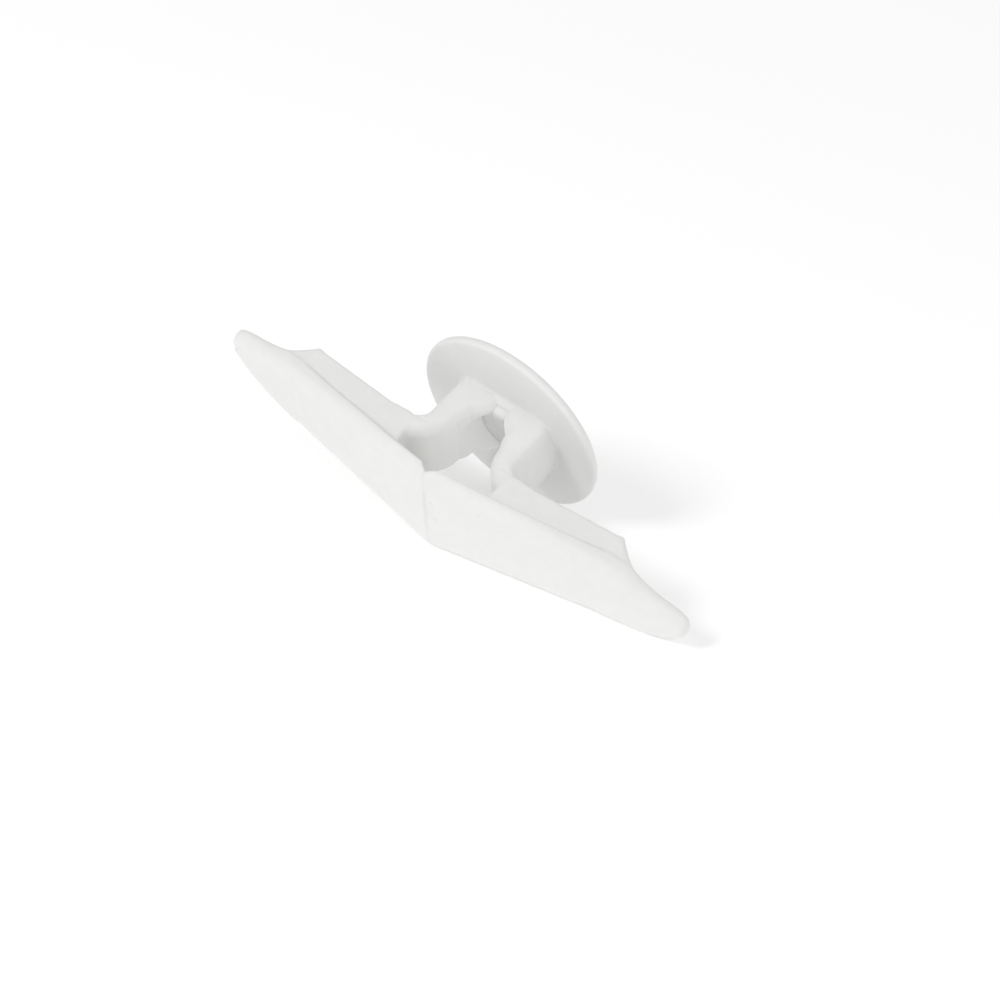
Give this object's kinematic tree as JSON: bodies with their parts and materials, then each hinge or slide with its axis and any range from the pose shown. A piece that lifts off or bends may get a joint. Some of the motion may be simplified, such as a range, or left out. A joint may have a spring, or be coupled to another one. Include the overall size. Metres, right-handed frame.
{
  "type": "wall anchor",
  "caption": "One-piece plastic toggle anchor for thin hollow walls: round flange, two sprung legs and folding wings that open flat behind the panel to back a screw.",
  "frame": {"origin": "centre of the flange's room-side face, on the screw axis", "axes": "+Z along the screw axis from the room into the wall cavity, X along the open wings, Y across them"},
  "size_m": [0.0424, 0.016, 0.0105],
  "materials": {
    "natural_plastic": "natural off-white polyolefin, satin and slightly translucent",
    "hinge_plastic": "the same plastic where it is thin and flexes, paler and more translucent"
  },
  "bodies": {
    "base": {"flange": "natural_plastic", "leg_collar": "natural_plastic"},
    "leg_right": {"leg_root_right": "hinge_plastic", "leg_right": "natural_plastic", "knee_right": "hinge_plastic"},
    "wing_right": {"hinge_strap_right": "hinge_plastic", "wing_plate_right": "natural_plastic", "wing_rib_right": "natural_plastic", "wing_nose_right": "natural_plastic"},
    "leg_left": {"leg_root_left": "hinge_plastic", "leg_left": "natural_plastic", "knee_left": "hinge_plastic"},
    "wing_left": {"hinge_strap_left": "hinge_plastic", "wing_plate_left": "natural_plastic", "wing_rib_left": "natural_plastic", "wing_nose_left": "natural_plastic"}
  },
  "joints": [
    {"name": "leg_swing_right", "type": "hinge", "parent": "base", "child": "leg_right", "pos_m": [0.0028, 0, 0.0014], "axis": [0, -1, 0], "range_deg": [0, 14], "stiffness_Nm_per_rad": 0.005, "deforming": ["leg_root_right"]},
    {"name": "wing_fold_right", "type": "hinge", "parent": "leg_right", "child": "wing_right", "pos_m": [0.0043, 0, 0.0073], "axis": [0, -1, 0], "range_deg": [0, 84], "stiffness_Nm_per_rad": 0.005, "deforming": ["knee_right", "hinge_strap_right"]},
    {"name": "leg_swing_left", "type": "hinge", "parent": "base", "child": "leg_left", "pos_m": [-0.0028, 0, 0.0014], "axis": [0, 1, 0], "range_deg": [0, 14], "stiffness_Nm_per_rad": 0.005, "deforming": ["leg_root_left"]},
    {"name": "wing_fold_left", "type": "hinge", "parent": "leg_left", "child": "wing_left", "pos_m": [-0.0043, 0, 0.0073], "axis": [0, 1, 0], "range_deg": [0, 84], "stiffness_Nm_per_rad": 0.005, "deforming": ["knee_left", "hinge_strap_left"]}
  ],
  "couplings": [
    {"joint": "leg_swing_right", "follows": "wing_fold_right", "ratio": 0.16667},
    {"joint": "leg_swing_left", "follows": "wing_fold_right", "ratio": 0.16667},
    {"joint": "wing_fold_left", "follows": "wing_fold_right", "ratio": 1}
  ]
}
